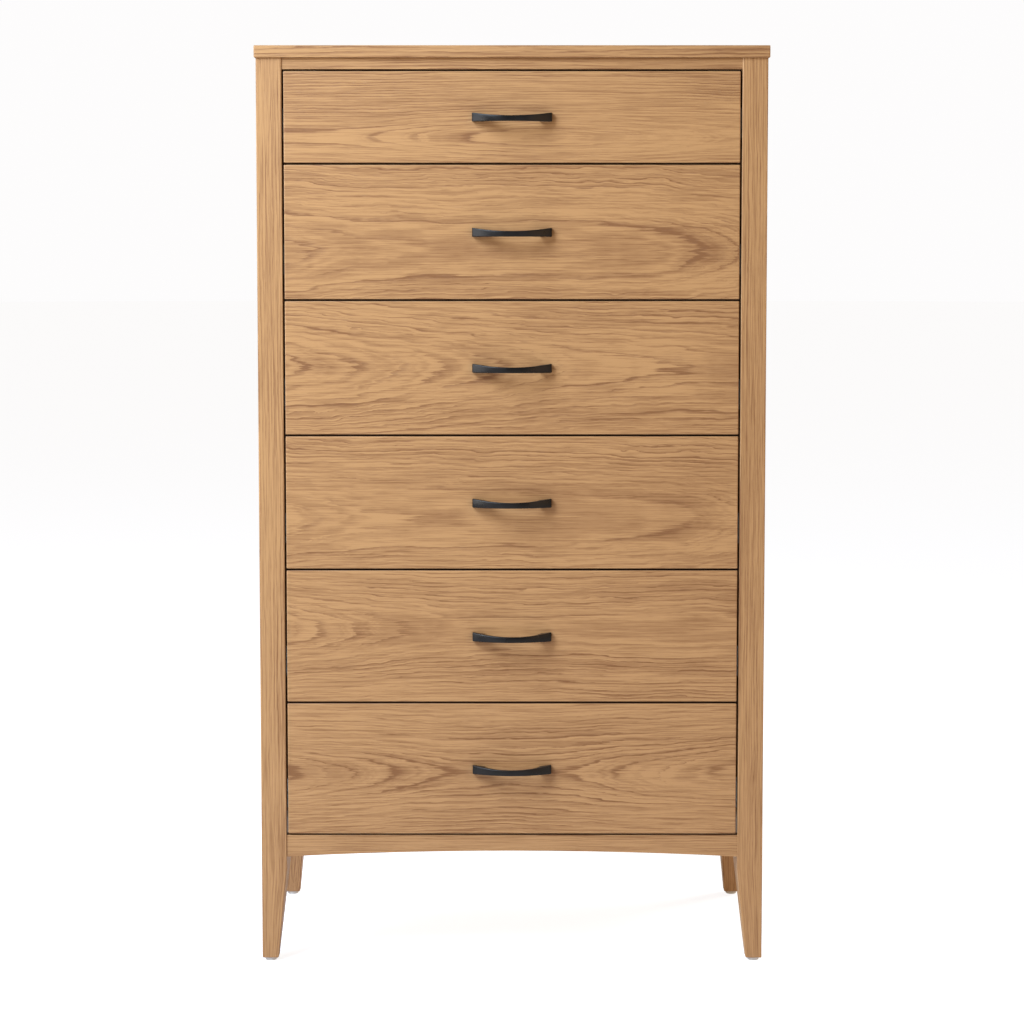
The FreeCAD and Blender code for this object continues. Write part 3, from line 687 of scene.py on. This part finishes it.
def unevenness(g, coords, grain, smudge, roughness, spread):
    """A placed group of surface unevenness."""
    uneven = g.node("ShaderNodeGroup", node_tree=group("uneven", wear_group))
    g.put(uneven.inputs["Vector"], coords)
    uneven.inputs["Grain"].default_value = grain
    uneven.inputs["Smudge"].default_value = smudge
    uneven.inputs["Roughness"].default_value = roughness
    uneven.inputs["Spread"].default_value = spread
    return uneven.outputs


def black_paint():
    """Satin black paint with faint orange peel."""
    settings = bpy.context.scene.chest_handles
    material, g, shader, coords = new_material("satin_black_paint")
    uneven = unevenness(g, coords, grain=1600.0, smudge=35.0, roughness=settings.roughness, spread=0.1)
    lift = tuple(min(1.0, c * 1.7) for c in settings.colour)
    g.put(shader.inputs["Base Color"], g.mix(uneven["Smudge"], rgba(settings.colour), rgba(lift)))
    g.put(shader.inputs["Roughness"], uneven["Roughness"])
    shader.inputs["Specular IOR Level"].default_value = 0.26
    shader.inputs["Specular Tint"].default_value = (1.0, 0.9, 0.78, 1)
    g.put(shader.inputs["Normal"], bump(g, uneven["Height"], 0.03 * MM))
    return material


def plated_steel(name, colour, brushed, roughness):
    """Zinc-plated steel, faintly brushed along one axis. brushed is the noise's stretch."""
    material, g, shader, coords = new_material(name)
    uneven = unevenness(g, coords, grain=600.0, smudge=25.0, roughness=roughness, spread=0.14)
    lines = g.noise(coords, brushed, detail=3.0, roughness=0.6)
    warm = (colour[0] * 1.05, colour[1], colour[2] * 0.9)
    g.put(shader.inputs["Base Color"], g.mix(uneven["Smudge"], rgba(colour), rgba(warm)))
    g.put(shader.inputs["Roughness"], uneven["Roughness"])
    shader.inputs["Metallic"].default_value = 1.0
    g.put(shader.inputs["Normal"], bump(g, lines, 0.04 * MM))
    return material


# --- operators -------------------------------------------------------------------------------


class CHEST_OT_case(bpy.types.Operator):
    """Oak of the case: top, posts, rails, sides, back and dividers"""

    bl_idname = "chest.case"
    bl_label = "Oak case"

    def execute(self, context):
        front, up = (0, -1, 0), (0, 0, 1)
        slab = RIFT._replace(height=160, waver=2, ring=2.6)
        oak_board("top_panel", "x", up, slab, 1.3)
        posts = ("post_front_left", "post_front_right", "post_rear_left", "post_rear_right")
        for i, node in enumerate(posts):
            oak_board(node, "z", front, RIFT._replace(height=120 + 14 * i), 2.1 + 1.7 * i)
        oak_board("top_rail", "x", front, RIFT._replace(ring=3.0), 9.4)
        oak_board("bottom_rail", "x", front, RIFT._replace(ring=3.0), 10.9)
        oak_board("rear_rails", "x", (0, 1, 0), RIFT, 11.7)
        # The dividers are painted dark all over: painted shade behind the gaps between the fronts
        oak_board("drawer_dividers", "x", front, RIFT, 12.6, gap_shade_start=-5 * MM)
        oak_board("side_panel_left", "z", (-1, 0, 0), PLAIN._replace(waver=10), 13.3)
        oak_board("side_panel_right", "z", (1, 0, 0), PLAIN._replace(waver=10, height=35), 14.8)
        oak_board("back_panel", "z", (0, 1, 0), PLAIN._replace(waver=12, height=80), 15.5)
        return {"FINISHED"}


class CHEST_OT_fronts(bpy.types.Operator):
    """Oak of the six drawer fronts, each from its own board"""

    bl_idname = "chest.fronts"
    bl_label = "Drawer fronts"

    def execute(self, context):
        for number, cut in zip(range(1, DRAWERS + 1), FRONT_CUTS):
            seed = 20.0 + 2.7 * number
            # The fronts' edges are painted dark from 0.4 mm behind the show face on: painted shade inside the
            # gaps
            oak_board(drawer(number, "front"), "x", (0, -1, 0), cut, seed, gap_shade_start=0.4 * MM)
        return {"FINISHED"}


class CHEST_OT_handles(bpy.types.Operator):
    """Bow handles in satin black"""

    bl_idname = "chest.handles"
    bl_label = "Bow handles"

    def execute(self, context):
        paint = black_paint()
        for number in range(1, DRAWERS + 1):
            node = drawer(number, "handle")
            points, rings, around = handle_surface(*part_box(node), context.scene.chest_handles)
            faces = tube_faces(rings, around)
            name, body = f"bow_handle_{number}", f"drawer_{number}"
            piece = new_piece(name, points, faces, body, node, paint)
            outward_faces(piece)
        return {"FINISHED"}


class CHEST_OT_fittings(bpy.types.Operator):
    """Steel slides and screws, and nylon glides"""

    bl_idname = "chest.fittings"
    bl_label = "Slides, screws and glides"

    def execute(self, context):
        settings = context.scene.chest_inside
        slide = plated_steel("zinc_slide_steel", settings.slide, (400, 6, 400), 0.32)
        screw = plated_steel("zinc_screw_steel", settings.screw, (900, 900, 900), 0.28)
        cover("slide_outer_members", slide)
        for number in range(1, DRAWERS + 1):
            cover(drawer(number, "slide_inner"), slide)
            cover(f"slide_{number}_middle", slide)
            cover(drawer(number, "screws"), screw)
        cover("back_panel_screws", screw)
        cover("top_panel_screws", screw)
        material, g, shader, coords = new_material("pale_nylon")
        mottle = g.noise(coords, (120, 120, 120), detail=3.0)
        nylon = g.mix(mottle, rgba(settings.nylon), rgba(settings.nylon_mottle))
        g.put(shader.inputs["Base Color"], nylon)
        shader.inputs["Roughness"].default_value = 0.55
        cover("foot_glides", material)
        return {"FINISHED"}


class CHEST_OT_boxes(bpy.types.Operator):
    """Pale wood of the drawer boxes, their plywood bottoms, battens and blocks"""

    bl_idname = "chest.boxes"
    bl_label = "Drawer boxes"

    def execute(self, context):
        for number in range(1, DRAWERS + 1):
            box, bottom, step = drawer(number, "box"), drawer(number, "bottom"), 1.9 * number
            pale_board(box, "x", (0, -1, 0), PLAIN, 40.0 + step, 0.5, relief=0.06 * MM, sides=True)
            pale_board(bottom, "x", (0, 0, 1), PLAIN, 55.0 + step, 0.5, relief=0.06 * MM)
        pale_board("slide_battens", "y", (1, 0, 0), RIFT, 71.0, 0.6)
        pale_board("corner_blocks", "y", (1, 0, 0), RIFT, 73.0, 0.6)
        return {"FINISHED"}


# Each light's place as x, distance out from the fronts and z, then its size and colour.
LIGHTS = {
    "key": ((-1.75, 1.5, 2.75), 1.5, (0.76, 0.96, 1.26)),
    "side": ((-1.9, 0.9, 1.0), 1.0, (0.9, 0.97, 1.08)),
    "fill": ((2.6, 2.2, 1.3), 2.0, (1.1, 0.68, 0.36)),
    "back": ((2.5, -1.7135, 2.0), 1.6, (1.0, 0.9, 0.78)),
}


class CHEST_OT_stage(bpy.types.Operator):
    """Pale floor, soft lights and the camera"""

    bl_idname = "chest.stage"
    bl_label = "Floor, lights and camera"

    def execute(self, context):
        settings = context.scene.chest_stage
        make_floor(settings)
        low, high = CAD_BOX
        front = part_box("post_front_left")[0].y
        middle = Vector((0, front, (low.z + high.z) / 2))
        for name, ((x, out, z), size, colour) in LIGHTS.items():
            power = getattr(settings, name + "_power")
            make_light(name + "_light", (x, front - out, z), middle, size, power, colour)
        make_sky(settings)
        make_camera(settings, front)
        context.scene.view_settings.view_transform = "Standard"
        return {"FINISHED"}


FLOOR_WHITE = (0.982, 0.985, 1.0)
WARM_LIGHT = (1.0, 0.84, 0.66)
BACKDROP = (0.985, 0.975, 0.975)


def emission(g, kind, colour, strength):
    """Emission or Background shader of an even colour."""
    made = g.node(kind)
    made.inputs["Color"].default_value = rgba(colour)
    made.inputs["Strength"].default_value = strength
    return made.outputs[0]


def seen_or_lit(g, seen, light):
    """One shader that is seen directly, and another that lights the chest."""
    chosen = g.node("ShaderNodeMixShader")
    g.put(chosen.inputs[0], g.node("ShaderNodeLightPath").outputs["Is Camera Ray"])
    g.put(chosen.inputs[1], light)
    g.put(chosen.inputs[2], seen)
    return chosen.outputs[0]


def make_floor(settings):
    """Round floor: rings of points at radius (i / n)^2, so that it is finer near the chest."""
    rings, around = 24, 96
    radius = settings.floor_radius * (np.arange(1, rings + 1) / rings) ** 2
    angle = np.arange(around) * (2 * np.pi / around)
    x = radius[:, None] * np.cos(angle)
    y = radius[:, None] * np.sin(angle)
    points = np.stack([x, y, np.zeros_like(x)], axis=-1).reshape(-1, 3)
    step = np.arange(around)
    after = (step + 1) % around
    ring = np.arange(rings - 1)[:, None] * around
    quads = np.stack([ring + step, ring + around + step, ring + around + after, ring + after], axis=-1)
    mesh = bpy.data.meshes.new("floor")
    mesh.from_pydata(points.tolist(), [], [list(range(around))] + quads.reshape(-1, 4).tolist())
    floor = bpy.data.objects.new("floor", mesh)
    bpy.context.scene.collection.objects.link(floor)
    material, g, shader, coords = new_material("pale_floor")
    cloud = g.noise(coords, (0.8, 0.8, 0.8), detail=3.0)
    g.put(shader.inputs["Base Color"], g.mix(cloud, (0.44, 0.48, 0.54, 1), (0.46, 0.50, 0.56, 1)))
    shader.inputs["Roughness"].default_value = 0.75
    glow = emission(g, "ShaderNodeEmission", FLOOR_WHITE, settings.floor_glow)
    bounce = emission(g, "ShaderNodeEmission", WARM_LIGHT, settings.floor_bounce)
    surface = shader.outputs[0].links[0].to_socket
    both = g.node("ShaderNodeAddShader")
    g.put(both.inputs[0], shader.outputs[0])
    g.put(both.inputs[1], seen_or_lit(g, glow, bounce))
    g.put(surface, both.outputs[0])
    mesh.materials.append(material)


def make_light(name, place, target, size, power, colour):
    """Square area light that faces a point."""
    data = bpy.data.lights.new(name, "AREA")
    data.shape = "SQUARE"
    data.size = size
    data.energy = power
    data.color = colour
    light = bpy.data.objects.new(name, data)
    bpy.context.scene.collection.objects.link(light)
    light.location = place
    light.rotation_euler = (target - Vector(place)).to_track_quat("-Z", "Y").to_euler()


def make_sky(settings):
    """Even light from all round, and a plain near-white behind the chest."""
    world = bpy.data.worlds.new("studio")
    world.use_nodes = True
    world.node_tree.nodes.clear()
    g = Graph(world.node_tree)
    seen = emission(g, "ShaderNodeBackground", BACKDROP, 1.0)
    light = emission(g, "ShaderNodeBackground", WARM_LIGHT, settings.sky)
    g.put(g.node("ShaderNodeOutputWorld").inputs["Surface"], seen_or_lit(g, seen, light))
    bpy.context.scene.world = world


def make_camera(settings, front):
    """Camera square on to the fronts, looking slightly down."""
    data = bpy.data.cameras.new("camera")
    data.sensor_width = 36.0
    data.lens = settings.lens
    data.shift_y = settings.shift
    camera = bpy.data.objects.new("camera", data)
    bpy.context.scene.collection.objects.link(camera)
    camera.location = (0, front - settings.distance, settings.height)
    camera.rotation_euler = (math.pi / 2 - settings.tilt, 0, 0)
    bpy.context.scene.camera = camera


class CHEST_PT_panel(bpy.types.Panel):
    """Buttons for each group of pieces"""

    bl_label = "Tall chest of drawers"
    bl_idname = "CHEST_PT_panel"
    bl_space_type = "VIEW_3D"
    bl_region_type = "UI"
    bl_category = "Chest"

    def draw(self, context):
        for operator in OPERATORS:
            self.layout.operator(operator.bl_idname)
        for settings in SETTINGS:
            box = self.layout.box()
            for name in SETTINGS[settings].__annotations__:
                box.prop(getattr(context.scene, settings), name)


SETTINGS = {
    "chest_oak": ChestOak,
    "chest_handles": ChestHandles,
    "chest_inside": ChestInside,
    "chest_stage": ChestStage,
}
OPERATORS = (
    CHEST_OT_case,
    CHEST_OT_fronts,
    CHEST_OT_boxes,
    CHEST_OT_handles,
    CHEST_OT_fittings,
    CHEST_OT_stage,
)


def register():
    for made in (*SETTINGS.values(), *OPERATORS, CHEST_PT_panel):
        bpy.utils.register_class(made)
    for name, made in SETTINGS.items():
        setattr(bpy.types.Scene, name, PointerProperty(type=made))


def unregister():
    for name in SETTINGS:
        delattr(bpy.types.Scene, name)
    for made in reversed((*SETTINGS.values(), *OPERATORS, CHEST_PT_panel)):
        bpy.utils.unregister_class(made)


def main():
    register()
    bpy.ops.chest.case()
    bpy.ops.chest.fronts()
    bpy.ops.chest.boxes()
    bpy.ops.chest.handles()
    bpy.ops.chest.fittings()
    bpy.ops.chest.stage()


if __name__ == "__main__":
    main()
